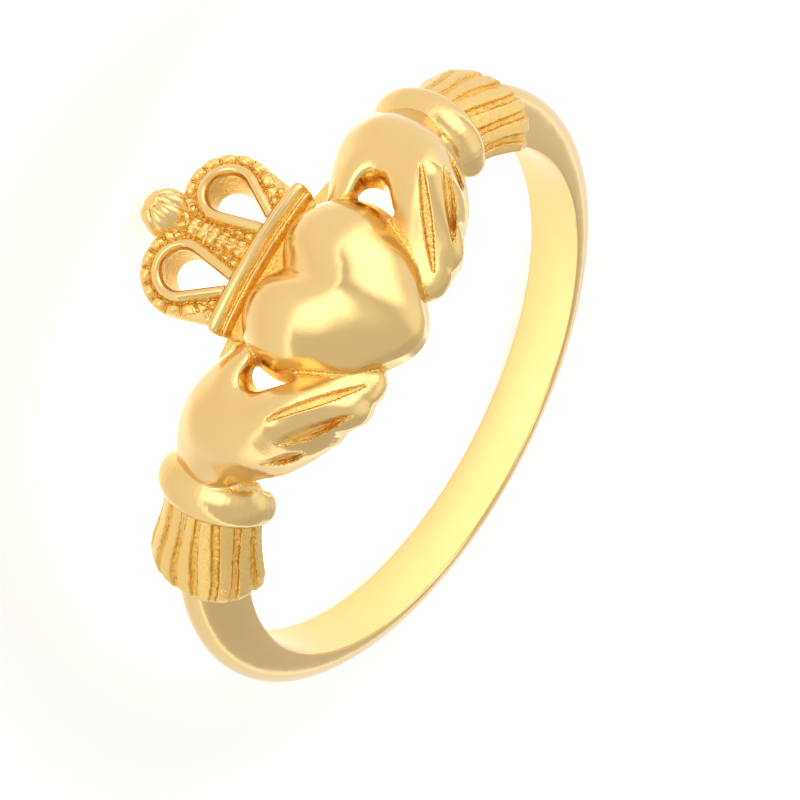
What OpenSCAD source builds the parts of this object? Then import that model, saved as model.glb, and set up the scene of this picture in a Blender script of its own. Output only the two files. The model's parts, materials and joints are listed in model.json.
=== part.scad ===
// A cast claddagh ring: two cuffed hands hold a crowned heart on a plain finger band.
// The real ring is one casting, so it is one solid. It lies on its side, and rests on the
// crown's orb and on the edge of the band's back.
//
// The face is drawn unrolled: s runs round the finger from the heart's middle line, a runs
// along the finger from the band's middle towards the crown, and h is the height over the
// finger's surface. All three are millimetres, and both halves of the face are alike.

/* [Finger] */
// Inside diameter of the band
finger_d = 17.3; // [14:0.1:23]

/* [Band] */
// Width of the band at the back of the finger
back_w = 1.76; // [1.2:0.02:2.6]
// Width of the band where it enters the cuffs
front_w = 2.1; // [1.6:0.02:2.8]
// Wall of the band at the back of the finger
back_t = 0.86; // [0.6:0.02:1.4]
// Wall of the band where it enters the cuffs
front_t = 1.54; // [1:0.02:1.8]

/* [Face] */
// Height of the crown's face over the finger
face_h = 1.85; // [1.6:0.05:2.3]
// Height of the underside where the face overhangs the band
under_h = 0.7; // [0.4:0.05:0.9]

/* [Heart] */
// Width of the heart over both lobes
heart_w = 5.9; // [5:0.1:6.6]
// Length of the heart from its lobes to its tip
heart_l = 5.7; // [5:0.1:6.2]
// Height of the heart's dome over the finger
heart_h = 3.75; // [2.8:0.05:4.5]
// Height of the heart's rim over the finger
heart_rim_h = 1.55; // [1.2:0.05:2]
// Depth of the valley that runs from the cleft into the dome
cleft_depth = 0.45; // [0.1:0.05:0.8]

/* [Hands] */
// Distance round the finger from the heart's middle to the wrist
wrist_s = 7.0; // [6.4:0.1:7.6]
// Reach of the fingertips past the band's middle line
fingers_a = 4.9; // [4.4:0.1:5.4]
// Height of the knuckles over the finger
knuckle_h = 3.95; // [3:0.05:4.6]
// Width of the lines that part the fingers
line_w = 0.3; // [0.15:0.01:0.4]

/* [Cuffs] */
// Thickness of the wrist's roll, round the finger
roll_t = 1.25; // [0.9:0.05:1.6]
// Height of the wrist's roll over the finger
roll_h = 2.5; // [2.2:0.05:3]
// Length of a cuff round the finger, from its roll to the band
cuff_l = 3.9; // [3:0.1:4.6]
// Width of a cuff at its flared end
cuff_w = 4.0; // [3.4:0.1:4.6]
// Height of a cuff over the finger
cuff_h = 2.0; // [1.8:0.05:2.4]
// Depth of the pleats of a cuff
pleat_depth = 0.14; // [0.05:0.01:0.25]

/* [Crown] */
// Distance from the band's middle line to the top of the crown's base bar
crown_a = 1.2; // [1:0.05:1.4]
// Width of the crown over both of its arches
crown_w = 5.7; // [5:0.1:6.4]
// Length of the crown's arches over its base bar
crown_l = 3.16; // [2.8:0.02:3.6]
// Length of the crown's base bar, round the finger
bar_l = 5.3; // [4.4:0.1:5.6]
// Width of the crown's base bar, along the finger
bar_w = 0.7; // [0.5:0.05:0.9]
// Width of the openings of the crown's arches
opening_w = 1.32; // [1:0.02:1.5]
// Width of the polished rim round each opening
rim_w = 0.3; // [0.2:0.01:0.36]
// Height of the rims, the bar's rails and the beads over the crown's face
relief_h = 0.2; // [0.1:0.01:0.3]
// Diameter of the beads on the crown
bead_d = 0.46; // [0.3:0.01:0.5]
// Diameter of the orb on the crown
orb_d = 1.5; // [1.2:0.05:1.8]

/* [Hidden] */
$fn = 48;

finger_r = finger_d / 2;
unroll_r = finger_r + 1.85;      // the radius at which s is measured
face_r = finger_r + face_h;
shell_r = finger_r + under_h;
core_r = finger_r - 0.35;        // the raw casting reaches inside the bore, which trims it
knuckle_s = wrist_s + roll_t;
motif_s = knuckle_s + cuff_l;
hand_rows = 46;                  // sections from the heart's middle to the cuff
cuff_rows = 9;                   // sections of a cuff
band_rows = 14;                  // sections of one half of the bare band
across = 28;                     // points across a section, three to each pleat of a cuff

// The outline of the face: [s, lower a, upper a, height of the underside] as shares of
// motif_s, fingers_a, cuff_w / 2 and under_h. Below it the sides draw in by the tuck.
tuck = 0.34;
OUTLINE = [
    [0.000, -1.080, 0.42, 1.0], [0.035, -1.060, 0.42, 1.0], [0.078, -0.965, 0.42, 1.0],
    [0.105, -0.905, 0.42, 1.0], [0.120, -0.950, 0.42, 1.0], [0.148, -1.000, 0.42, 1.0],
    [0.198, -0.990, 0.42, 1.0], [0.230, -0.960, 0.38, 1.0], [0.280, -0.918, 0.43, 1.0],
    [0.325, -0.850, 0.52, 1.0], [0.362, -0.815, 0.59, 1.0], [0.410, -0.735, 0.60, 1.0],
    [0.445, -0.640, 0.58, 1.0], [0.490, -0.490, 0.56, 1.0], [0.530, -0.490, 0.62, 0.9],
    [0.572, -0.525, 0.78, 0.7], [0.620, -0.500, 0.95, 0.6], [0.665, -0.430, 1.10, 0.5],
    [0.700, -0.380, 1.07, 0.5], [0.730, -0.370, 0.87, 0.5], [0.765, -0.370, 0.84, 0.5],
    [0.870, -0.405, 0.97, 0.5], [0.955, -0.370, 0.95, 0.5], [0.985, -0.310, 0.80, 0.5],
    [1.000, -0.230, 0.56, 0.4]
];

// The palm, then the thumb, each from the wrist on:
// [s, a, half width, height] as shares of wrist_s, fingers_a, fingers_a and knuckle_h
PALM = [
    [1.03, -0.12, 0.30, 0.48], [0.86, -0.19, 0.33, 0.73], [0.72, -0.30, 0.33, 0.91],
    [0.63, -0.43, 0.25, 0.98]
];
THUMB = [
    [0.72, -0.01, 0.20, 0.76], [0.60, -0.01, 0.17, 0.80], [0.49, -0.05, 0.145, 0.78],
    [0.39, -0.09, 0.13, 0.66]
];

// The four fingers, from the knuckle to the tip, in the same shares
FINGERS = [
    [[0.61, -0.39, 0.12, 0.96], [0.49, -0.52, 0.12, 1.00], [0.37, -0.69, 0.11, 0.86],
     [0.265, -0.87, 0.085, 0.54]],
    [[0.64, -0.55, 0.11, 0.98], [0.56, -0.67, 0.11, 1.00], [0.42, -0.84, 0.11, 0.82],
     [0.30, -0.955, 0.085, 0.54]],
    [[0.74, -0.53, 0.11, 0.88], [0.66, -0.65, 0.11, 0.92], [0.53, -0.82, 0.11, 0.76],
     [0.42, -0.94, 0.08, 0.54]],
    [[0.83, -0.45, 0.10, 0.72], [0.76, -0.57, 0.10, 0.76], [0.66, -0.71, 0.10, 0.64],
     [0.59, -0.80, 0.075, 0.52]]
];

// The wrist's roll, from the crown's side to the fingers' side:
// [s past the wrist, a, half thickness, height] as shares of roll_t, cuff_w / 2, roll_t and roll_h
ROLL = [
    [1.08, 1.05, 0.34, 0.40], [0.52, 0.55, 0.50, 0.82], [0.40, 0.15, 0.50, 0.97],
    [0.36, -0.30, 0.55, 1.00], [0.20, -0.75, 0.58, 0.95], [0.00, -1.22, 0.46, 0.58]
];

// The heart's outline about its middle: [direction in degrees from the tip, distance]
// with the distance as a share of heart_l / 2
HEART = [
    [0, 1.007], [8, 0.975], [22, 0.875], [40, 0.800], [58, 0.790], [75, 0.855], [89, 0.965],
    [101, 1.055], [112, 1.118], [123, 1.153], [133, 1.154], [142, 1.132], [151, 1.090],
    [160, 1.045], [170, 0.975], [180, 0.87]
];

// The lines that part the fingers: [s, a, height] at the knuckle and at the tip, as shares of
// wrist_s, fingers_a and knuckle_h
FINGER_LINES = [
    [[0.520, -0.645, 1.03], [0.300, -0.880, 0.60]],
    [[0.590, -0.725, 1.03], [0.380, -0.975, 0.66]],
    [[0.715, -0.610, 0.93], [0.575, -0.850, 0.66]]
];

// The opening between heart, thumb and palm: [s, a] as shares of wrist_s and fingers_a
THUMB_HOLE = [
    [0.405, -0.200], [0.485, -0.200], [0.495, -0.325], [0.470, -0.395], [0.425, -0.475],
    [0.385, -0.545], [0.405, -0.470], [0.425, -0.380], [0.425, -0.270]
];

function table(rows, x, c) = lookup(x, [for (r = rows) [r[0], r[c]]]);
function clamp01(x) = max(0, min(1, x));
function dome(x, n) = sqrt(max(0, 1 - pow(min(1, abs(x)), n)));
function sized(rows, s, a, h) = [for (r = rows) [r[0] * s, r[1] * a, r[2] * a, r[3] * h]];

// Height of a rounded run through rows of [s, a, half width, height], or 0 outside it
function run_height(p, rows, base, n) = max([for (i = [0 : len(rows) - 2])
    let (u = rows[i],
         v = rows[i + 1],
         d = [v[0] - u[0], v[1] - u[1]],
         t = clamp01(([p[0] - u[0], p[1] - u[1]] * d) / (d * d)),
         off = norm([p[0] - u[0] - t * d[0], p[1] - u[1] - t * d[1]]),
         w = u[2] + t * (v[2] - u[2]),
         top = u[3] + t * (v[3] - u[3]))
    off < w ? min(base, top) + max(0, top - base) * dome(off / w, n) : 0]);

palm_run = sized(PALM, wrist_s, fingers_a, knuckle_h);
thumb_run = sized(THUMB, wrist_s, fingers_a, knuckle_h);
finger_runs = [for (f = FINGERS) sized(f, wrist_s, fingers_a, knuckle_h)];
roll_run = [for (r = ROLL)
    [wrist_s + r[0] * roll_t, r[1] * cuff_w / 2, r[2] * roll_t, r[3] * roll_h]];

// The heart's dome, with a valley below its cleft
heart_mid = 0.37 - heart_l / 2;
function heart_height(s, a) =
    let (way = abs(atan2(s, heart_mid - a)),
         wide = heart_w / heart_l * 0.966,
         off = norm([s / wide, a - heart_mid]),
         reach = table(HEART, way, 1) * heart_l / 2,
         valley = cleft_depth * exp(-pow(s / 0.5, 2)) * clamp01((a - heart_mid) / 2.4 + 0.25))
    off < reach ? heart_rim_h + (heart_h - heart_rim_h - valley) * dome(off / reach, 3) : 0;

// The bare band, at an angle round the finger from the heart and a share x of its half width
cuff_angle = motif_s / unroll_r * 180 / PI;
function swell(angle) = (1 + cos(angle)) / (1 + cos(cuff_angle));
function band_half(angle) = (back_w + (front_w - back_w) * swell(angle)) / 2;
function band_height(angle, x) =
    (back_t + (front_t - back_t) * swell(angle)) * pow(1 - pow(min(0.985, abs(x)), 2.6), 1 / 2.6);

// A cuff, whose pleats each take three points of the section
function cuff_height(s, x, j) =
    let (u = (s - wrist_s - roll_t / 2) / (cuff_l + roll_t / 2))
    u < 0 || u > 1 ? 0
    : (cuff_h - (j % 3 == 0 ? pleat_depth : 0)) * dome(x, 2.4) * (0.93 + 0.07 * u) * dome(max(0, u * 8 - 7), 4);

// The largest of some heights, with the creases between them softened
function soft_max(v) = let (m = max(v)) m + ln([for (x = v) exp((x - m) * 7)] * [for (x = v) 1]) / 7;

function face_height(s, a) = max([
    under_h + 0.35,
    heart_height(s, a),
    soft_max([run_height([s, a], palm_run, 1.3, 2.4),
              for (f = finger_runs) run_height([s, a], f, 1.2, 2.2)]),
    run_height([s, a], thumb_run, 1.2, 2.2),
    run_height([s, a], roll_run, 0.5, 2.2)]);

function at(s, a, r) = let (t = s / unroll_r * 180 / PI) [-r * sin(t), -r * cos(t), -a];

// Sections of one half, from the heart's middle line to the middle of the band's back
back_s = PI * unroll_r;
stations = concat(
    [for (i = [0 : hand_rows - 1]) knuckle_s * i / hand_rows],
    [for (i = [0 : cuff_rows - 1]) knuckle_s + cuff_l * sin(90 * i / cuff_rows)],
    [for (i = [0 : band_rows]) motif_s + (back_s - motif_s) * i / band_rows]);

function section(s, side) =
    let (q = s / motif_s,
         bare = q > 0.9999,
         angle = s / unroll_r * 180 / PI,
         half_band = band_half(angle),
         low = bare ? -half_band : table(OUTLINE, q, 1) * fingers_a,
         high = bare ? half_band : table(OUTLINE, q, 2) * cuff_w / 2,
         under = finger_r + (bare ? 0.12 : table(OUTLINE, q, 3) * under_h),
         mid = (low + high) / 2,
         half = (high - low) / 2,
         top = [for (j = [0 : across - 1])
             let (y = 2 * j / (across - 1) - 1,
                  x = y * 0.7 + sin(90 * y) * 0.3,
                  a = mid + half * x,
                  h = bare ? max(0.2, band_height(angle, x))
                      : max(under - finger_r + 0.25, face_height(s, a), cuff_height(s, x, j)),
                  edge = bare ? 0 : 0.3 * (1 - dome(1 - min(1, (1 - abs(x)) * half / 0.4), 2)))
             [a, max(under + 0.08, finger_r + h - edge)]],
         step = bare ? 0.985 : 1,
         shelf = bare ? (under + core_r) / 2 : under - 0.02,
         pull = bare ? 0 : tuck * (1 - 0.6 * clamp01(q * 8 - 7)),
         ring = concat(top, [
             [high - pull * 0.7, under], [half_band * step, shelf], [half_band * 0.97, core_r],
             [-half_band * 0.97, core_r], [-half_band * step, shelf], [low + pull, under]]))
    [for (p = ring) at(side * s, p[0], p[1])];

last = len(stations) - 1;
rings = concat([for (i = [0 : last]) section(stations[i], 1)],
               [for (i = [last - 1 : -1 : 1]) section(stations[i], -1)]);

// Band, cuffs, rolls, hands and heart as one skin over the sections
module raw_casting() {
    n = len(rings);
    m = len(rings[0]);
    polyhedron(
        points = [for (r = rings) for (p = r) p],
        faces = [for (i = [0 : n - 1]) for (j = [0 : m - 1])
            let (p = i * m + j,
                 q = i * m + (j + 1) % m,
                 u = ((i + 1) % n) * m + j,
                 v = ((i + 1) % n) * m + (j + 1) % m)
            each i < last ? [[p, q, v], [p, v, u]] : [[p, q, u], [q, v, u]]]);
}

// A ring's worth of finger, from radius inner to outer and from a0 to a1, within half_s of the heart
module arc(inner, outer, a0, a1, half_s) {
    turn = half_s / unroll_r * 180 / PI;
    rotate([0, 0, -90 - turn])
        rotate_extrude(angle = 2 * turn)
            translate([inner, -a1])
                square([outer - inner, a1 - a0]);
}

// A flat outline of [s, a] points, pushed out through the face at the heart's middle line
module through(points, inner, outer) {
    rotate([90, 0, 0])
        translate([0, 0, inner])
            linear_extrude(outer - inner)
                polygon([for (p = points) [p[0], -p[1]]]);
}

// A drop: a circle of radius r about c that draws in to the point tip
function drop(c, r, tip) =
    let (d = tip - c,
         way = atan2(d[1], d[0]),
         side = acos(r / norm(d)))
    concat([for (i = [0 : 28]) c + r * [cos(way + side + (360 - 2 * side) * i / 28),
                                       sin(way + side + (360 - 2 * side) * i / 28)]], [tip]);

lobe_r = (crown_w / 2) * 0.52;
lobe = [crown_w / 2 - lobe_r, crown_a + crown_l - lobe_r];
opening_r = opening_w / 2;
opening_tip = [lobe[0] - 0.3, crown_a + 0.05];
crown_in = shell_r + 0.04;        // just inside the casting that carries the crown
function flip(points, side) = [for (p = points) [p[0] * side, p[1]]];

module crown_outline_cut(inner, outer) {
    for (side = [-1, 1])
        through(flip(drop(lobe, lobe_r, [bar_l * 0.36, crown_a - bar_w - 1.6]), side), inner, outer);
}

// The crown: two pierced arches with polished rims, a railed base bar, beads and an orb
module crown() {
    difference() {
        union() {
            intersection() {
                arc(crown_in, face_r, crown_a - bar_w + 0.05, crown_a + crown_l + 0.2, crown_w * 0.6);
                union() {
                    crown_outline_cut(finger_r, face_r + 2);
                    through([[-1.3, 0.3], [1.3, 0.3], [0.9, crown_a + crown_l * 0.8],
                             [-0.9, crown_a + crown_l * 0.8]], finger_r, face_r + 2);
                }
            }
            for (side = [-1, 1])
                intersection() {
                    arc(crown_in + 0.1, face_r + relief_h, crown_a - 0.13, crown_a + crown_l, crown_w * 0.6);
                    through(flip(drop(lobe, opening_r + rim_w, opening_tip - [0.1, 0.5]), side),
                            finger_r, face_r + 2);
                }
            arc(crown_in + 0.05, face_r + relief_h * 1.3, crown_a - bar_w, crown_a - bar_w * 0.6, bar_l / 2);
            arc(crown_in + 0.07, face_r + relief_h * 0.4, crown_a - bar_w * 0.9, crown_a - bar_w * 0.1,
                bar_l / 2 - 0.05);
            arc(crown_in + 0.05, face_r + relief_h * 1.3, crown_a - bar_w * 0.4, crown_a, bar_l / 2);
            beads();
        }
        for (side = [-1, 1])
            through(flip(drop(lobe, opening_r, opening_tip), side), finger_r - 1, face_r + 3);
    }
    orb();
}

module bead(s, a) {
    translate(at(s, a, face_r - bead_d * 0.1))
        sphere(d = bead_d, $fn = 24);
}

module beads() {
    lane = (lobe_r + opening_r + rim_w) / 2 + 0.02;
    for (side = [-1, 1]) {
        for (turn = [-42 : 26 : 114])
            bead(side * (lobe[0] + lane * cos(turn)), lobe[1] + lane * sin(turn));
        for (i = [0 : 3])
            bead(side * (0.17 + 0.035 * (3 - i)), crown_a + 0.3 + i * 0.56);
    }
}

orb_a = crown_a + crown_l + 0.04;
orb_r = face_r - 0.2;
module orb() {
    translate(at(0, orb_a, orb_r)) sphere(d = orb_d);
}

// The ring lies on the orb and on one point of the back's edge, and stands over its own centre
function lean(y, z) = atan2(z + orb_a, y + orb_r) + asin(orb_d / 2 / norm([y + orb_r, z + orb_a]));
lay_tilt = min([for (x = [0 : 0.02 : 0.98])
    lean(finger_r + max(0.2, band_height(180, x)), -x * back_w / 2)]);
function laid_y(p) = p[1] * cos(lay_tilt) + p[2] * sin(lay_tilt);
skin_y = [for (r = rings) for (p = r) laid_y(p)];
front_y = min(min(skin_y), laid_y([0, -orb_r, -orb_a]) - orb_d / 2);
lay_shift = [0, -(front_y + max(skin_y)) / 2,
             orb_d / 2 + orb_a * cos(lay_tilt) - orb_r * sin(lay_tilt)];

module claddagh_ring() {
    color("gold")
        translate(lay_shift)
            rotate([-lay_tilt, 0, 0])
                difference() {
                    union() {
                        raw_casting();
                        crown();
                    }
                    cylinder(r = finger_r, h = 40, center = true, $fn = 96);
                    thumb_holes();
                    finger_lines();
                }
}

// The openings between the heart, the thumbs and the palms, and the hollows behind them
module thumb_holes() {
    mid_s = 0.44 * wrist_s;
    for (side = [-1, 1])
        rotate([0, 0, -side * mid_s / unroll_r * 180 / PI]) {
            through([for (p = THUMB_HOLE) [side * (p[0] * wrist_s - mid_s) * 1.05, p[1] * fingers_a]],
                    shell_r - 0.05, finger_r + 6);
            through([for (w = [0 : 15 : 345]) [side * 0.05 + 0.62 * cos(w), -0.6 + 0.95 * sin(w)]],
                    finger_r - 1, shell_r + 0.12);
        }
}

// Round-bottomed lines between the fingers of both hands
module finger_lines() {
    for (side = [-1, 1], l = FINGER_LINES) {
        u = at(side * l[0][0] * wrist_s, l[0][1] * fingers_a, finger_r + l[0][2] * knuckle_h);
        v = at(side * l[1][0] * wrist_s, l[1][1] * fingers_a, finger_r + l[1][2] * knuckle_h);
        d = v - u;
        translate(u)
            rotate([0, acos(d[2] / norm(d)), atan2(d[1], d[0])])
                cylinder(d = line_w, h = norm(d), $fn = 24);
    }
}

claddagh_ring();
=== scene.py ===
import json
import math

import bpy
import mathutils
import numpy as np
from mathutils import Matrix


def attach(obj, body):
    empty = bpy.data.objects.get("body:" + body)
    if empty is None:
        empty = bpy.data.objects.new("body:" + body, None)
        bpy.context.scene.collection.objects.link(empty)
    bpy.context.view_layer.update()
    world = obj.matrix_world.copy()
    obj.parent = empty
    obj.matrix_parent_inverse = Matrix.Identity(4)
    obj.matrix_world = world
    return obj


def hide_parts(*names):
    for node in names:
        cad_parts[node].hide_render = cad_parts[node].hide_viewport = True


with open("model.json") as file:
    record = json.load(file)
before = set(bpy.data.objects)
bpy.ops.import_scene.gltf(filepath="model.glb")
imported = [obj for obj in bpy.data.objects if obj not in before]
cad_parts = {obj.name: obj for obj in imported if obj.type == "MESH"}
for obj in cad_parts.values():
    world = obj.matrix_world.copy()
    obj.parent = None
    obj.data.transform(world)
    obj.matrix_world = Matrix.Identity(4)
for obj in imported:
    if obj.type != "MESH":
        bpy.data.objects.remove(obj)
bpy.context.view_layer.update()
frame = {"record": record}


# --- Shank -----------------------------------------------------------------------------------
# The plain gold band that goes round the finger, cast with the face. It is rounded outside and
# smooth inside, and it grows wider and thicker towards the face, where it runs into the cuffs.

# The ring is drawn unrolled, in millimetres: s round the finger from the middle of the heart, a
# along the finger towards the crown, and r out from the finger's axis. Each feature is a function
# that is negative inside the metal and close to a distance. Both halves of the ring are alike.
BORE_RADIUS = 8.65
UNROLL_RADIUS = 10.5
ROUND_THE_RING = 2 * math.pi * UNROLL_RADIUS
CUFF_END = 11.6

BACK_WIDTH = 1.76
BACK_WALL = 0.9
WIDER_AT_CUFF = 0.34
THICKER_AT_CUFF = 0.75
SHANK_SQUARENESS = 2.15
# below the hands and the heart the shank is only a low rail
RAIL_RADIUS = 9.5
RAIL_END = 7.0


def merge(a, b, fillet):
    """Both shapes, with a fillet where they meet."""
    return np.minimum(a, b) - np.maximum(fillet - np.abs(a - b), 0) ** 2 / (4 * fillet)


def trim(a, b, rounding):
    """What lies in both shapes, with the edge between them rounded."""
    return np.maximum(a, b) + np.maximum(rounding - np.abs(a - b), 0) ** 2 / (4 * rounding)


def ease(x, low, high):
    """0 below low, 1 above high, and a smooth step between."""
    t = np.clip((x - low) / (high - low), 0, 1)
    return t * t * (3 - 2 * t)


def shank(s, a, r):
    swell = (1 + np.cos(s / UNROLL_RADIUS)) / (1 + math.cos(CUFF_END / UNROLL_RADIUS))
    half_width = (BACK_WIDTH + WIDER_AT_CUFF * swell) / 2
    wall = BACK_WALL + THICKER_AT_CUFF * swell**0.8
    x = np.abs(a) / half_width
    y = np.maximum(r - BORE_RADIUS, 0) / wall
    size = (x**SHANK_SQUARENESS + y**SHANK_SQUARENESS) ** (1 / SHANK_SQUARENESS)
    metal = (size - 1) * np.minimum(half_width, wall)
    return trim(metal, merge(r - RAIL_RADIUS, RAIL_END - s, 0.1), 0.1)


# --- Cuffs -----------------------------------------------------------------------------------
# The ends of the two sleeves, cast in gold with the band. Their pleats run towards the band,
# and the grooves between them keep the mould's grain, because no buff reaches into them.

# each row: s, and there the side away from the crown, the side by the crown, and the top's radius
CUFF_LOW_SIDE = [(7.4, -1.6), (8.2, -1.75), (9.3, -1.85), (10.6, -2.02), (11.1, -1.95),
                 (11.55, -1.7), (11.75, -1.3)]
CUFF_HIGH_SIDE = [(7.4, 1.4), (8.2, 1.5), (9.3, 1.65), (10.4, 1.95), (10.9, 2.0), (11.45, 1.75),
                  (11.75, 1.3)]
CUFF_TOP = [(7.4, 10.45), (8.4, 10.45), (10, 10.5), (11.2, 10.56), (11.6, 10.48), (11.8, 10.2)]
CUFF_FOOT = 8.75
CUFF_SQUARENESS = 2.6
CUFF_HALF_WIDTH = 1.6
CUFF_END_ROUNDING = 0.35
PLEATS = 9
PLEAT_DEPTH = 0.13


def along_table(x, table):
    rows = np.array(table, float)
    return np.interp(x, rows[:, 0], rows[:, 1])


def across_cuff(s, a, r):
    """Sideways and up in the cuff's own section, which is 1 at its sides and its top."""
    low = along_table(s, CUFF_LOW_SIDE)
    high = along_table(s, CUFF_HIGH_SIDE)
    top = along_table(s, CUFF_TOP) - CUFF_FOOT
    return (a - (low + high) / 2) / ((high - low) / 2), np.maximum(r - CUFF_FOOT, 0) / top


def pleat_groove(s, x, y):
    turn = np.arctan2(y, x)
    waver = 0.08 * np.sin(s * 1.3 + 5 * turn)
    groove = ease(np.cos(2 * math.pi * (turn / math.pi * PLEATS + waver)), 0.2, 0.75)
    return groove * ease(s, 8.0, 8.4) * (1 - ease(s, 11.3, 11.55))


def cuff(s, a, r):
    x, y = across_cuff(s, a, r)
    size = (np.abs(x) ** CUFF_SQUARENESS + y**CUFF_SQUARENESS) ** (1 / CUFF_SQUARENESS)
    metal = (size - 1) * CUFF_HALF_WIDTH + PLEAT_DEPTH * pleat_groove(s, x, y)
    return trim(metal, s - CUFF_END, CUFF_END_ROUNDING)


# --- Hands -----------------------------------------------------------------------------------
# Two hands reach for the heart, palms down, with the thumb by the crown and four fingers on the
# other side of the heart. They are cast in gold and buffed, and graver cuts part the fingers.

# points over the back of the hand, the thumb and the fingers: s, a, radius
BACK_OF_HAND = [
    (7.1, -0.5, 10.7), (7.1, 0.3, 10.5), (7.1, 0.95, 10.1), (7.0, -1.2, 10.4), (6.9, -1.8, 9.9),
    (6.0, -0.8, 11.35), (6.0, 0.05, 11.2), (6.0, 0.75, 10.8), (6.0, -1.7, 11.1),
    (6.1, -2.35, 10.3), (5.3, -1.2, 12.05), (5.3, -0.25, 11.8), (5.3, 0.6, 11.15),
    (5.3, -2.2, 12.0), (5.4, -2.95, 11.1), (4.6, -1.8, 12.45), (4.6, -0.8, 12.15),
    (4.6, 0.0, 11.85), (4.6, 0.6, 11.2), (4.6, -2.7, 12.45), (4.75, -3.5, 11.4),
    (4.0, -2.3, 12.6), (4.0, -1.4, 12.35), (4.0, -0.6, 12.0), (3.95, 0.4, 11.2),
    (3.95, -3.2, 12.65), (4.1, -3.6, 12.35), (4.05, -4.05, 11.5), (3.45, -1.6, 12.0),
    (3.45, -2.6, 12.5), (3.4, -3.3, 12.5), (3.4, -3.9, 12.0), (3.4, -4.4, 11.4),
    (3.4, -0.45, 11.8), (3.3, 0.2, 11.1), (2.95, -2.4, 11.7), (2.9, -3.1, 12.0),
    (2.85, -3.9, 11.7), (2.8, -4.6, 11.2), (2.7, -0.65, 11.45), (2.6, -0.1, 10.9),
    (2.5, -3.0, 11.45), (2.3, -3.7, 11.25), (2.2, -4.4, 10.85), (1.8, -4.05, 10.85),
    (1.7, -4.6, 10.55),
]
# the outline from the roll along the thumb, round the opening, and back along the fingers: s, a
HAND_OUTLINE = [
    (7.3, 1.1), (6.6, 1.05), (5.8, 1.02), (5.0, 0.95), (4.35, 0.82), (3.75, 0.6), (3.2, 0.33),
    (2.75, 0.05), (2.35, -0.1), (2.08, -0.45), (2.1, -0.92), (2.45, -1.14), (2.85, -1.16),
    (3.16, -1.19), (3.36, -1.4), (3.35, -1.72), (3.05, -1.98), (2.55, -2.15), (2.1, -2.5),
    (1.75, -2.92), (1.42, -3.5), (1.18, -4.1), (1.2, -4.6), (1.58, -4.92), (1.95, -4.98),
    (2.25, -4.95), (2.42, -4.88), (2.8, -4.92), (3.15, -4.78), (3.42, -4.58), (3.62, -4.38),
    (4.05, -4.25), (4.45, -4.0), (4.95, -3.6), (5.5, -3.08), (6.0, -2.5), (6.35, -2.05),
    (6.55, -1.6), (6.8, -1.35), (7.3, -1.2),
]
HAND_ROUNDING = 0.45
HAND_DRAFT = 0.25
CUT_DEPTH = 0.16
# a height counts for this much less than a distance, because the relief's sides slope
SLANT = 0.8


def between(before, start, end, after, t):
    """A point from start to end on a smooth curve through all four."""
    bend = 2 * before - 5 * start + 4 * end - after
    turn = 3 * start - before - 3 * end + after
    return start + t / 2 * (end - before + t * (bend + t * turn))


def smooth_line(rows, count):
    rows = np.array(rows, float)
    longer = np.vstack([2 * rows[0] - rows[1], rows, 2 * rows[-1] - rows[-2]])
    places = np.linspace(0, len(rows) - 1 - 1e-9, count)
    return np.array([between(*longer[int(u):int(u) + 4], u - int(u)) for u in places])


def smooth_loop(rows, count):
    rows = np.array(rows, float)
    n = len(rows)
    places = np.arange(count) * n / count
    return np.array([between(*(rows[(int(u) + k) % n] for k in (-1, 0, 1, 2)), u - int(u))
                     for u in places])


def smooth_sheet(points):
    """A smooth surface through points of s, a and radius, as a function of s and a."""
    knots = np.array(points, float)
    n = len(knots)

    def bend(s, a):
        square = sum((x[..., None] - k) ** 2 for x, k in ((s, knots[:, 0]), (a, knots[:, 1])))
        return square * np.log(square + 1e-6)

    flat = np.column_stack([np.ones(n), knots[:, :2]])
    bent = bend(knots[:, 0], knots[:, 1]) + 0.3 * np.eye(n)
    weights = np.linalg.solve(np.block([[bent, flat], [flat.T, np.zeros((3, 3))]]),
                              np.append(knots[:, 2], [0, 0, 0]))

    def radius(s, a):
        s, a = np.broadcast_arrays(s, a)
        return bend(s, a) @ weights[:n] + weights[n] + weights[n + 1] * s + weights[n + 2] * a
    return radius


def beside_line(s, a, rows):
    """How far off a line the places are, and the line's half width there."""
    best_off = best_half = None
    for start, end in zip(rows, rows[1:]):
        ds = end[0] - start[0]
        da = end[1] - start[1]
        t = np.clip(((s - start[0]) * ds + (a - start[1]) * da) / (ds * ds + da * da), 0, 1)
        off = np.hypot(s - start[0] - t * ds, a - start[1] - t * da)
        half = start[2] + t * (end[2] - start[2])
        if best_off is None:
            best_off, best_half = off, half
        else:
            closer = off - half < best_off - best_half
            best_off = np.where(closer, off, best_off)
            best_half = np.where(closer, half, best_half)
    return best_off, best_half


def inside_loop(s, a, loop):
    """Distance from a closed outline, negative inside it."""
    inside = np.zeros(np.broadcast(s, a).shape, bool)
    off = 9.0
    for start, end in zip(loop, np.roll(loop, -1, 0)):
        ds, da = end - start
        t = np.clip(((s - start[0]) * ds + (a - start[1]) * da) / (ds * ds + da * da), 0, 1)
        off = np.minimum(off, np.hypot(s - start[0] - t * ds, a - start[1] - t * da))
        crosses = (start[1] > a) != (end[1] > a)
        inside ^= crosses & (s < start[0] + (a - start[1]) / (da or 1e-9) * ds)
    return np.where(inside, -off, off)


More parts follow.
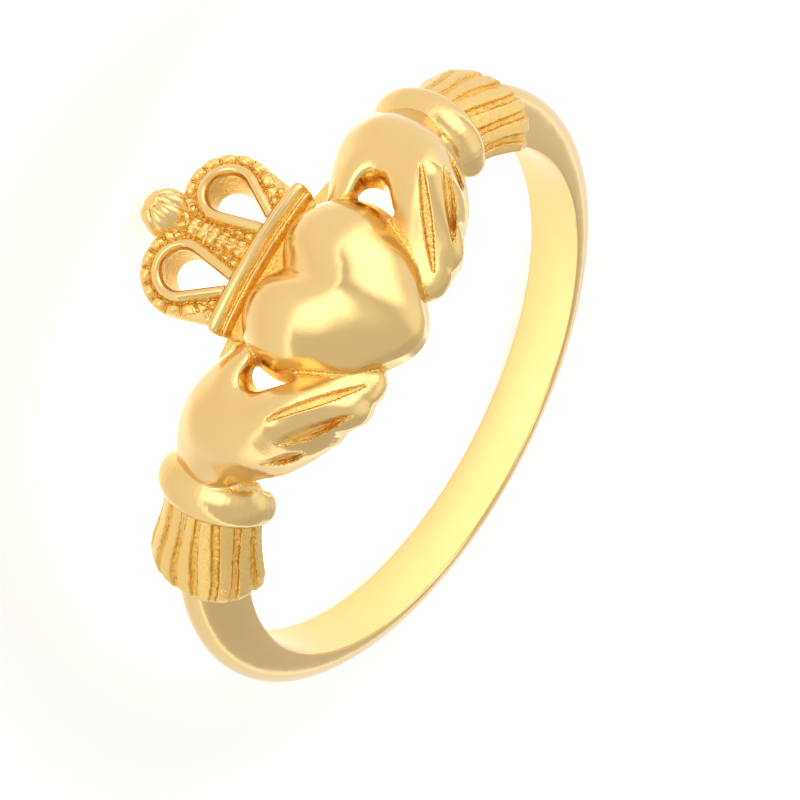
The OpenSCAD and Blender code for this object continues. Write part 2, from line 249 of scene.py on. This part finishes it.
# each row: s, a and the half width of the graver's cut
FINGER_CUTS = [
    smooth_line([(3.8, -2.98, 0.02), (3.35, -3.42, 0.1), (2.75, -3.93, 0.13),
                 (2.0, -4.48, 0.03)], 9),
    smooth_line([(4.32, -3.35, 0.02), (3.92, -3.8, 0.13), (3.4, -4.25, 0.1),
                 (2.9, -4.66, 0.02)], 9),
    smooth_line([(5.15, -2.75, 0.02), (4.82, -3.28, 0.1), (4.55, -3.62, 0.07),
                 (4.38, -3.84, 0.02)], 9),
]
back_of_hand = smooth_sheet(BACK_OF_HAND)
hand_outline = smooth_loop(HAND_OUTLINE, 90)


def finger_cut(s, a):
    deepest = 0
    for cut in FINGER_CUTS:
        off, half = beside_line(s, a, cut)
        depth = np.minimum(CUT_DEPTH, 1.8 * half) * (1 - ease(off, half * 0.6, half + 0.04))
        deepest = np.maximum(deepest, depth)
    return deepest


def hand(s, a, r):
    # the sides draw in towards the finger, and the cuts fade before they reach the thin edge
    side = inside_loop(s, a, hand_outline) + HAND_DRAFT * np.maximum(10.5 - r, 0)
    metal = trim(side, (r - back_of_hand(s, a)) * SLANT, HAND_ROUNDING)
    return metal + finger_cut(s, a) * ease(r, 9.95, 10.45)


# --- Wrists' rolls ---------------------------------------------------------------------------
# The gold hem between hand and sleeve, cast with them: one smooth fold that slants across the
# wrist, buffed bright, with a dark crease on each side. A smaller fold tucks in by the fingers.

# along the middle of each: s, a, radius of the middle, half thickness
ROLL = smooth_line([(7.5, 1.1, 9.2, 0.5), (7.5, 1.05, 9.8, 0.56), (7.5, 0.65, 10.22, 0.58),
                    (7.52, 0.0, 10.38, 0.6), (7.5, -0.6, 10.37, 0.6), (7.46, -1.2, 10.18, 0.6),
                    (7.48, -1.62, 9.8, 0.58), (7.62, -1.75, 9.3, 0.52)], 30)
SMALL_FOLD = smooth_line([(6.85, -0.8, 10.3, 0.2), (6.85, -1.3, 10.15, 0.27),
                          (6.92, -1.68, 9.7, 0.26)], 8)
# this makes the rolls wider round the finger than they are thick
ROLL_FLATTENING = 0.6


def roll(s, a, r):
    tube = 9.0
    for start, end in [*zip(ROLL, ROLL[1:]), *zip(SMALL_FOLD, SMALL_FOLD[1:])]:
        d = end[:3] - start[:3]
        along = (s - start[0]) * d[0] + (a - start[1]) * d[1] + (r - start[2]) * d[2]
        t = np.clip(along / (d @ d), 0, 1)
        off = np.sqrt(ROLL_FLATTENING * (s - start[0] - t * d[0]) ** 2
                      + (a - start[1] - t * d[1]) ** 2 + (r - start[2] - t * d[2]) ** 2)
        tube = np.minimum(tube, off - start[3] - t * (end[3] - start[3]))
    return tube


# --- Heart -----------------------------------------------------------------------------------
# The gold heart between the hands, cast with them: a high, smooth dome with steep sides and a
# shallow valley that runs down from its cleft.

HEART_MIDDLE = -2.45
# direction from the tip in degrees, and how far the outline is from the heart's middle
HEART_OUTLINE = [(0, 2.87), (8, 2.78), (22, 2.58), (33, 2.5), (45, 2.5), (58, 2.55), (75, 2.72),
                 (89, 2.95), (101, 3.1), (112, 3.23), (123, 3.32), (133, 3.32), (142, 3.23),
                 (151, 3.11), (160, 2.98), (170, 2.79), (180, 2.5)]
heart_turns, heart_reaches = np.array(HEART_OUTLINE, float).T
heart_waves = np.linalg.lstsq(np.cos(np.outer(np.radians(heart_turns), np.arange(9))),
                              heart_reaches, rcond=None)[0]
HEART_SHOULDER = 10.6
DOME_HEIGHT = 1.9
VALLEY_DEPTH = 0.85
VALLEY_HALF_WIDTH = 0.55
CLEFT_DEPTH = 0.3


def heart(s, a, r):
    turn = np.arctan2(s, HEART_MIDDLE - a)
    reach = sum(wave * np.cos(k * turn) for k, wave in enumerate(heart_waves))
    reach = reach - CLEFT_DEPTH * np.exp(-(math.pi - turn) / 0.16)
    out = np.hypot(s, a - HEART_MIDDLE) / reach + 0.03 * np.maximum(10.9 - r, 0)
    valley = VALLEY_DEPTH * np.exp(-(s / VALLEY_HALF_WIDTH) ** 2) * ease(a, -3.2, -0.4)
    height = DOME_HEIGHT + 0.12 * (a - HEART_MIDDLE) - valley
    dome = HEART_SHOULDER + height * np.clip(1 - out**2.1, 0, 1) ** 0.7
    return trim(2.6 * (out - 1), (r - dome) * 0.6, 0.15)


# --- Crown -----------------------------------------------------------------------------------
# Two pierced gold arches, cast with the face, with a polished rim round each opening, beads
# outside and between them, and a fluted orb on top. The base bar joins the crown to the heart.

ARCH_MIDDLE = (1.37, 2.87)
ARCH_RADIUS = 1.475
OPENING_RADIUS = 0.63
OPENING_TIP = (1.06, 1.12)
CROWN_FACE = 10.38
CROWN_BACK = 9.3
RIM_HEIGHT = 0.36
BEAD_HEIGHT = 0.26
SMALL_BEAD_HEIGHT = 0.16
BAR_FACE = 10.5
BAR_END = 2.64
BAR_MIDDLE = 0.84
BAR_HALF_WIDTH = 0.41
LOW_GROUND = 10.42
ORB_MIDDLE = (4.36, 10.3)
ORB_RADIUS = 0.8
ORB_PETALS = 8


def drop(s, a, centre, radius, tip):
    """Distance from a drop shape: a circle drawn out to a tip."""
    way = np.subtract(tip, centre)
    length = math.hypot(*way)
    u = way / length
    x = (s - centre[0]) * u[0] + (a - centre[1]) * u[1]
    y = np.abs((a - centre[1]) * u[0] - (s - centre[0]) * u[1])
    sine = radius / length
    cosine = math.sqrt(1 - sine * sine)
    run = x * cosine - y * sine
    side = x * sine + y * cosine - radius
    return np.where(run < 0, np.hypot(x, y) - radius,
                    np.where(run > length * cosine, np.hypot(x - length, y), side))


def crown_opening(s, a):
    return drop(s, a, ARCH_MIDDLE, OPENING_RADIUS, OPENING_TIP)


def round_top(x, half):
    """The height of a bead or bar, 1 in its middle and 0 from half a width on."""
    return np.clip(1 - (x / half) ** 2, 0, 1) ** 0.6


def wire_top(x, half):
    """The height of a round wire, fuller than a bead's."""
    return np.sqrt(np.clip(1 - (x / half) ** 2, 0, 1))


def beads(x, pitch, half):
    """A row of beads in steps of the given pitch."""
    return round_top(np.mod(x / pitch, 1) - 0.5, half)


def crown_relief(s, a, hole):
    """The beads: one row along the outside of each arch, and an even grid between the arches."""
    arch = np.arctan2(a - ARCH_MIDDLE[1], s - ARCH_MIDDLE[0])
    outside = ease(arch, -1.15, -0.9) * (1 - ease(arch, 2.2, 2.45))
    lane = round_top(hole - 0.58, 0.19) * beads(arch + 0.043, 0.43, 0.5) * outside
    grid = beads(s, 0.33, 0.46) * beads(a - 1.3, 0.36, 0.46)
    grid = grid * ease(hole, 0.38, 0.44) * (1 - outside)
    return np.maximum(BEAD_HEIGHT * lane, SMALL_BEAD_HEIGHT * grid)


def crown(s, a, r):
    edge = merge(drop(s, a, ARCH_MIDDLE, ARCH_RADIUS, (1.9, -1.6)),
                 np.maximum(s - 1.2, a - 3.6), 0.25)
    edge = np.maximum(edge, 0.55 - a)
    hole = crown_opening(s, a)
    face = CROWN_FACE + RIM_HEIGHT * wire_top(hole - 0.16, 0.24) + 0.12 * ease(hole, 0.66, 0.78)
    face = face + crown_relief(s, a, hole)
    metal = trim(edge + 0.1 * np.maximum(9.9 - r, 0), (r - face) * SLANT, 0.26)
    return trim(trim(metal, CROWN_BACK - r, 0.1), -hole, 0.16)


def base_bar(s, a, r):
    # a wide rail by the crown and a thin one by the heart
    face = BAR_FACE + 0.4 * wire_top(a - 0.95, 0.31) + 0.25 * round_top(a - 0.54, 0.12)
    side = trim(s - BAR_END, np.abs(a - BAR_MIDDLE) - BAR_HALF_WIDTH, 0.35)
    return trim(trim(side, (r - face) * SLANT, 0.25), CROWN_BACK - r, 0.1)


def channel(s, a, r):
    """The low ground between the heart, the base bar and the fingers."""
    by_crown = trim(np.maximum(np.maximum(s - 2.5, a - 0.9), -a - 1.5), r - LOW_GROUND, 0.2)
    off, half = beside_line(s, a, [(1.75, -4.05, 0.3), (2.5, -2.95, 0.3)])
    return np.minimum(by_crown, trim(off - half, r - 10.5, 0.2))


def orb(s, a, r):
    x, y, z = s, a - ORB_MIDDLE[0], r - ORB_MIDDLE[1]
    size = np.sqrt(x**2 + y**2 + z**2) + 1e-9
    # it leans outward, with a small smooth disc on its top
    up = (0.45 * y + 0.89 * z) / size
    petals = 0.5 + 0.5 * np.cos(ORB_PETALS * np.arctan2(x, 0.89 * y - 0.45 * z))
    disc = ease(up, 0.93, 0.96)
    flutes = 0.09 * (1 - petals**0.5) * (1 - disc) * ease(up, -0.4, 0.2)
    return size - ORB_RADIUS + flutes - 0.03 * disc


# --- The casting -----------------------------------------------------------------------------
# All of these are one piece of metal: the wax is carved whole, cast in yellow gold, pierced
# beside the thumbs, and buffed where a wheel can reach. Its back is bored to the finger's size.

# the opening between heart, thumb and palm: s, a
THUMB_OPENING = [(2.5, -1.12), (2.85, -1.14), (3.16, -1.17), (3.35, -1.42), (3.34, -1.75),
                 (3.17, -2.1), (2.93, -2.42), (2.7, -2.67), (2.55, -2.2), (2.45, -1.6)]
thumb_opening = smooth_loop(THUMB_OPENING, 40)
UNDERSIDE = 9.35
CELL = 0.062
MOST_TRIANGLES = 196000


def pierced(metal, s, a, r):
    """The metal without the opening beside the thumb and the hollow below it."""
    hole = trim(inside_loop(s, a, thumb_opening), 9.2 - r, 0.05)
    metal = trim(metal, -hole, 0.2)
    deep = np.maximum(11 - r, 0)
    x = (s - 3.2 - 0.33 * deep) / (0.35 + 0.33 * deep)
    y = (a + 1.5 - 0.45 * deep) / (0.8 + 0.15 * deep)
    return trim(metal, -0.4 * trim(x**2 + y**2 - 1, (r - 11) * 3, 0.3), 0.08)


def casting(s, a, r):
    s = np.abs(s)
    metal = pierced(merge(hand(s, a, r), channel(s, a, r), 0.1), s, a, r)
    for part, fillet in [(heart, 0.05), (crown, 0.05), (base_bar, 0.06)]:
        metal = merge(metal, part(s, a, r), fillet)
    metal = trim(metal, UNDERSIDE + 0.18 * np.maximum(-a - 2.4, 0) - r, 0.1)
    metal = merge(metal, orb(s, a, r), 0.06)
    metal = merge(metal, pierced(shank(s, a, r), s, a, r), 0.08)
    sleeve = merge(roll(s, a, r), trim(cuff(s, a, r), 7.5 - s, 0.1), 0.06)
    metal = merge(metal, trim(sleeve, 8.95 - r, 0.1), 0.06)
    return trim(metal, BORE_RADIUS - r, 0.05)


def cell_lines(cell):
    """Where the cells' corners stand along s, a and r. They are longer round the plain band."""
    s = [cell / 2]
    gap = cell
    while s[-1] < ROUND_THE_RING / 2:
        if s[-1] > CUFF_END + 0.2:
            gap = min(gap * 1.12, 0.45)
        s.append(s[-1] + gap)
    s = np.array(s[:-1])
    s = s * (ROUND_THE_RING / 2 - gap / 2) / s[-1]
    return s, np.arange(-5.6, 5.4, cell), np.arange(8.5, 12.9, cell)


def skin(cell):
    """Points and quads over the casting's surface, one point to a cell that it passes through."""
    s, a, r = cell_lines(cell)
    half = casting(s[:, None, None], a[None, :, None], r[None, None, :])
    value = np.concatenate([half[::-1], half])
    s = np.concatenate([-s[::-1], s])
    s = np.append(s, s[0] + ROUND_THE_RING)
    n = value.shape
    cells, points, quads = [], [], []
    for axis, (one, two) in enumerate([(1, 2), (2, 0), (0, 1)]):
        ahead = np.roll(value, -1, axis)
        i = np.array(np.nonzero((value < 0) != (ahead < 0)))
        inner = (i[1] > 0) & (i[1] < n[1] - 1) & (i[2] > 0) & (i[2] < n[2] - 1)
        i = i[:, inner]
        here = value[tuple(i)]
        part = here / (here - ahead[tuple(i)])
        place = np.array([s[i[0]], a[i[1]], r[i[2]]])
        line = (s, a, r)[axis]
        place[axis] += part * (line[i[axis] + 1] - line[i[axis]])
        around = []
        for down_one, down_two in [(0, 0), (1, 0), (1, 1), (0, 1)]:
            c = i.copy()
            c[one] -= down_one
            c[two] -= down_two
            wrapped = place.copy()
            wrapped[0] += np.where(c[0] < 0, ROUND_THE_RING, 0)
            around.append(((c[0] % n[0]) * n[1] + c[1]) * n[2] + c[2])
            cells.append(around[-1])
            points.append(wrapped)
        around = np.array(around).T
        around[here > 0] = around[here > 0][:, ::-1]
        quads.append(around)
    used, which = np.unique(np.concatenate(cells), return_inverse=True)
    count = np.bincount(which)
    points = np.concatenate(points, 1)
    return (np.array([np.bincount(which, p) / count for p in points]).T,
            np.searchsorted(used, np.concatenate(quads)))


def slope(points, step=0.01):
    """Which way the metal ends, and how fast, at each point."""
    steps = np.eye(3) * step
    ways = [casting(*(points + d).T) - casting(*(points - d).T) for d in steps]
    return np.array(ways).T / (2 * step)


def settle(points, rounds):
    """The points moved onto the surface itself."""
    for _ in range(rounds):
        way = slope(points)
        steep = np.maximum((way * way).sum(1), 0.05)
        move = -(casting(*points.T) / steep)[:, None] * way
        far = np.linalg.norm(move, axis=1)
        points = points + move * np.minimum(1, 0.05 / np.maximum(far, 1e-9))[:, None]
    return points


bore = frame["record"]["mounts"][0]
lean = math.atan2(bore["axis"][1], bore["axis"][2])
LEAN = np.array([[1, 0, 0], [0, math.cos(lean), math.sin(lean)],
                 [0, -math.sin(lean), math.cos(lean)]])


def laid(v):
    """From across, along the finger and out through the heart, to the ring as it lies."""
    v = np.atleast_2d(v)
    return np.array([-v[:, 0], -v[:, 2], -v[:, 1]]).T @ LEAN.T


def rolled_up(points):
    """From s, a and r in millimetres to places in metres."""
    turn = points[:, 0] / UNROLL_RADIUS
    v = np.array([points[:, 2] * np.sin(turn), points[:, 1], points[:, 2] * np.cos(turn)]).T
    return laid(v) * 0.001 + np.array(bore["pos_m"])


def unrolled(places):
    v = (places - np.array(bore["pos_m"])) @ LEAN * 1000
    across, along, out = -v[:, 0], -v[:, 2], -v[:, 1]
    return np.array([np.arctan2(across, out) * UNROLL_RADIUS, along, np.hypot(across, out)]).T


def outward(points):
    """The surface's own normals, as the ring lies."""
    way = slope(points)
    turn = points[:, 0] / UNROLL_RADIUS
    round_way = way[:, 0] * UNROLL_RADIUS / points[:, 2]
    v = laid(np.array([round_way * np.cos(turn) + way[:, 2] * np.sin(turn), way[:, 1],
                       way[:, 2] * np.cos(turn) - round_way * np.sin(turn)]).T)
    return v / np.maximum(np.linalg.norm(v, axis=1), 1e-9)[:, None]


def hollows_and_painted_bounce(points):
    """0 where a buffing wheel touches the metal, 1 in the hollows where the grain of the mould is
    left; there the gold's colour is also deepened, as painted bounce light.
    """
    way = slope(points)
    steep = np.maximum(np.linalg.norm(way, axis=1)[:, None], 0.05)
    outer = ease((way / steep)[:, 2], -0.2, 0.1)
    way = way / steep**2
    closed_in = 0
    for reach, share in [(0.12, 0.6), (0.35, 0.9)]:
        clear = (casting(*(points + way * reach).T) - casting(*points.T)) / reach
        closed_in = np.maximum(closed_in, share * ease(-clear, -0.9, 0.1))
    s, a, r = np.abs(points[:, 0]), points[:, 1], points[:, 2]
    on_crown = crown(s, a, r) < 0.03
    closed_in = closed_in * np.where(on_crown, 0.6, 1)
    cuts = finger_cut(s, a) / CUT_DEPTH * 0.5 * (hand(s, a, r) < 0.05)
    pleats = np.maximum(pleat_groove(s, *across_cuff(s, a, r)), 0.36) * (cuff(s, a, r) < 0.03)
    hole = crown_opening(s, a)
    crown_ground = ease(hole, 0.36, 0.42) * on_crown * 0.3
    crown_walls = (1 - ease(hole, 0.02, 0.08)) * (1 - ease(r, 10.35, 10.5)) * (a > 1)
    low_ground = (1 - ease(channel(s, a, r), 0.02, 0.05)) * (heart(s, a, r) > 0.03)
    return np.max([closed_in, cuts * outer, pleats * outer, crown_ground * outer, crown_walls,
                   low_ground * outer], 0)


points, quads = skin(CELL)
points = settle(points, 2)
mesh = bpy.data.meshes.new("ring_casting")
mesh.from_pydata(rolled_up(points), [], quads.tolist())
ring = bpy.data.objects.new("ring_casting", mesh)
bpy.context.scene.collection.objects.link(ring)
share = MOST_TRIANGLES / (2 * len(quads))
if share < 1:
    thin = ring.modifiers.new("thin", "DECIMATE")
    thin.ratio = share
    bpy.context.view_layer.update()
    thinned = ring.evaluated_get(bpy.context.evaluated_depsgraph_get())
    mesh = bpy.data.meshes.new_from_object(thinned)
    ring.modifiers.clear()
    ring.data = mesh
places = np.zeros(len(mesh.vertices) * 3)
mesh.vertices.foreach_get("co", places)
points = settle(unrolled(places.reshape(-1, 3)), 1)
mesh.vertices.foreach_set("co", rolled_up(points).ravel())
mesh.polygons.foreach_set("use_smooth", np.ones(len(mesh.polygons), bool))
mesh.normals_split_custom_set_from_vertices(outward(points))
# the hollows' mask: a rougher, grainy skin, and a deeper yellow that is painted bounce light
hollows_attribute = mesh.attributes.new("hollows_and_painted_bounce", "FLOAT", "POINT")
hollows_attribute.data.foreach_set("value", hollows_and_painted_bounce(points))
mesh.update()


def linear(hex_colour):
    parts = [int(hex_colour[i:i + 2], 16) / 255 for i in (1, 3, 5)]
    return [p / 12.92 if p <= 0.04045 else ((p + 0.055) / 1.055) ** 2.4 for p in parts] + [1]


def node(tree, kind, settings=None, **sockets):
    """A new node. A socket is given by its name, or by its number as _0, and takes a value or
    another node's output."""
    new = tree.nodes.new(kind)
    for name, value in (settings or {}).items():
        setattr(new, name, value)
    for name, value in sockets.items():
        socket = new.inputs[int(name[1:]) if name[1:].isdigit() else name.replace("_", " ")]
        if isinstance(value, bpy.types.NodeSocket):
            tree.links.new(value, socket)
        else:
            socket.default_value = value
    return new


# Yellow gold, cast and buffed: warm, with clear but slightly soft reflections. Where the wheel
# doesn't reach, it is duller and grainy from the mould, and a deeper, warmer yellow is painted
# there as painted bounce light, the orange of light reflected between gold walls.
BUFFED_GOLD = "#E9C684"
HOLLOW_GOLD_PAINTED_BOUNCE = "#F6C96A"
MOULD_GRAIN_MM = 0.125
BUFF_PATCH_MM = 1.1111

gold = bpy.data.materials.new("polished_yellow_gold")
gold.use_nodes = True
tree = gold.node_tree
tree.nodes.clear()
where = node(tree, "ShaderNodeTexCoord").outputs["Object"]
hollows_mask = node(tree, "ShaderNodeAttribute", {"attribute_name": "hollows_and_painted_bounce"}).outputs["Fac"]
# a real mould's grain is finer, and is drawn this coarse so that it shows
grain = node(tree, "ShaderNodeTexNoise", Vector=where, Scale=1000 / MOULD_GRAIN_MM, Detail=3.0,
             Roughness=0.6).outputs["Fac"]
patches = node(tree, "ShaderNodeTexNoise", Vector=where, Scale=1000 / BUFF_PATCH_MM, Detail=4.0,
               Roughness=0.55).outputs["Fac"]
# the buff pressed more in some patches than in others
polish = node(tree, "ShaderNodeMapRange", Value=patches, From_Min=0.3, From_Max=0.7,
              To_Min=0.13, To_Max=0.2).outputs[0]
matt_and_bounce = node(tree, "ShaderNodeMapRange", Value=hollows_mask, From_Min=0.1, From_Max=0.7,
            To_Min=0.0, To_Max=1.0).outputs[0]
roughness = node(tree, "ShaderNodeMix", {"data_type": "FLOAT"}, _0=matt_and_bounce, _2=polish,
                 _3=0.3).outputs[0]
# painted bounce light: the hollows are mixed towards a deeper, warmer yellow
colour = node(tree, "ShaderNodeMix", {"data_type": "RGBA"}, _0=matt_and_bounce, _6=linear(BUFFED_GOLD),
              _7=linear(HOLLOW_GOLD_PAINTED_BOUNCE)).outputs[2]
waves = node(tree, "ShaderNodeBump", Height=patches, Strength=0.06, Distance=0.0002).outputs[0]
grain_strength = node(tree, "ShaderNodeMath", {"operation": "MULTIPLY_ADD"}, _0=matt_and_bounce, _1=0.7,
                      _2=0.01).outputs[0]
relief = node(tree, "ShaderNodeBump", Height=grain, Strength=grain_strength, Distance=0.00014,
              Normal=waves).outputs[0]
metal = node(tree, "ShaderNodeBsdfPrincipled", Base_Color=colour, Metallic=1.0,
             Roughness=roughness, Normal=relief)
node(tree, "ShaderNodeOutputMaterial", Surface=metal.outputs[0])
mesh.materials.clear()
mesh.materials.append(gold)
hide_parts("claddagh_ring")
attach(ring, "root")


# --- Table -----------------------------------------------------------------------------------
# A wide sheet of white paper that glows with painted light: a painted pool of light, brightest
# under the ring, that lifts the ring's shadow, plain beside it, and bright again far away, a
# painted glow for the gold to reflect.

PAPER_HALF_WIDTH = 3
GLOW_UNDER_RING = 1.05
GLOW_BESIDE_RING = 0.12
GLOW_FAR_AWAY = 0.6

paper_mesh = bpy.data.meshes.new("floor")
corners = [(-1, -1), (1, -1), (1, 1), (-1, 1)]
paper_mesh.from_pydata([(x * PAPER_HALF_WIDTH, y * PAPER_HALF_WIDTH, 0) for x, y in corners],
                       [], [(0, 1, 2, 3)])
floor = bpy.data.objects.new("floor", paper_mesh)
bpy.context.scene.collection.objects.link(floor)

# Uncoated paper: white and fully matt, so it shows no reflection of the ring.
paper = bpy.data.materials.new("matt_white_paper")
paper.use_nodes = True
tree = paper.node_tree
tree.nodes.clear()
where = node(tree, "ShaderNodeTexCoord").outputs["Object"]
from_ring = node(tree, "ShaderNodeVectorMath", {"operation": "LENGTH"}, _0=where).outputs["Value"]
# painted pool of light: the paper glows brightest right under the ring and fades within a few mm
near_glow = node(tree, "ShaderNodeMapRange", {"interpolation_type": "SMOOTHSTEP"},
                 Value=from_ring, From_Min=0.003, From_Max=0.014, To_Min=GLOW_UNDER_RING,
                 To_Max=GLOW_BESIDE_RING).outputs[0]
# painted glow: the paper shines again far off, for the gold to reflect
far_glow = node(tree, "ShaderNodeMapRange", {"interpolation_type": "SMOOTHSTEP"},
                Value=from_ring, From_Min=0.028, From_Max=0.09, To_Min=0.0,
                To_Max=GLOW_FAR_AWAY).outputs[0]
paper_glow = node(tree, "ShaderNodeMath", {"operation": "ADD"}, _0=near_glow,
                  _1=far_glow).outputs[0]
sheet = node(tree, "ShaderNodeBsdfPrincipled", Base_Color=linear("#FAFAF8"), Roughness=0.9,
             Emission_Color=linear("#FFFFFF"), Emission_Strength=paper_glow)
node(tree, "ShaderNodeOutputMaterial", Surface=sheet.outputs[0])
paper_mesh.materials.append(paper)


# --- Camera ----------------------------------------------------------------------------------
# The photograph's camera: far off, with a long lens, looking at the face of the ring from above
# the table. Directions and place are across, along the finger and out through the heart, in mm.

CAMERA_RIGHT = (0.50955, -0.79969, -0.31757)
CAMERA_UP = (0.848, 0.40418, 0.34284)
CAMERA_BACK = (-0.14581, -0.444, 0.88409)
CAMERA_PLACE = (-36.604, -111.387, 220.869)
LENS = 361.33
SENSOR = 36

camera_data = bpy.data.cameras.new("camera")
camera_data.lens = LENS
camera_data.sensor_width = SENSOR
camera_data.clip_start = 0.01
camera = bpy.data.objects.new("camera", camera_data)
bpy.context.scene.collection.objects.link(camera)
camera_axes = laid(np.array([CAMERA_RIGHT, CAMERA_UP, CAMERA_BACK])).T
stand = np.eye(4)
stand[:3, :3] = camera_axes
stand[:3, 3] = laid(CAMERA_PLACE)[0] * 0.001 + np.array(bore["pos_m"])
camera.matrix_world = mathutils.Matrix(stand.tolist())
bpy.context.scene.camera = camera


# --- Light tent ------------------------------------------------------------------------------
# A white tent glows evenly round the table. Soft lamps shine through it from the left and from
# above on the right, with weaker ones on the right and behind the camera.

TENT_GLOW = 0.8
# each lamp: its direction as right, up and towards the camera, then how many degrees off its
# middle its soft edge and its full brightness end, and its strength. The last is a grey card,
# which takes light away from below.
LAMPS = [
    ((-0.50, 0.02, 0.87), 34, 5, 1.4),
    ((0.42, 0.80, 0.43), 34, 5, 1.5),
    ((0.97, 0.20, 0.10), 42, 8, 0.35),
    ((0.0, 0.0, 1.0), 35, 5, 0.15),
    ((0.47, -0.81, -0.34), 50, 10, -0.15),
]

tent = bpy.data.worlds.new("light_tent")
tent.use_nodes = True
bpy.context.scene.world = tent
tree = tent.node_tree
tree.nodes.clear()
way = node(tree, "ShaderNodeTexCoord").outputs["Generated"]
glow = TENT_GLOW
for direction, edge, middle, strength in LAMPS:
    toward = camera_axes @ np.array(direction)
    facing = node(tree, "ShaderNodeVectorMath", {"operation": "DOT_PRODUCT"}, _0=way,
                  _1=list(toward / np.linalg.norm(toward))).outputs["Value"]
    spread = node(tree, "ShaderNodeMapRange", {"interpolation_type": "SMOOTHSTEP"}, Value=facing,
                  From_Min=math.cos(math.radians(edge)), From_Max=math.cos(math.radians(middle)),
                  To_Min=0.0, To_Max=strength).outputs[0]
    glow = node(tree, "ShaderNodeMath", {"operation": "ADD"}, _0=glow, _1=spread).outputs[0]
background = node(tree, "ShaderNodeBackground", Color=linear("#FFFFFF"), Strength=glow)
node(tree, "ShaderNodeOutputWorld", Surface=background.outputs[0])
bpy.context.scene.view_settings.view_transform = "Standard"
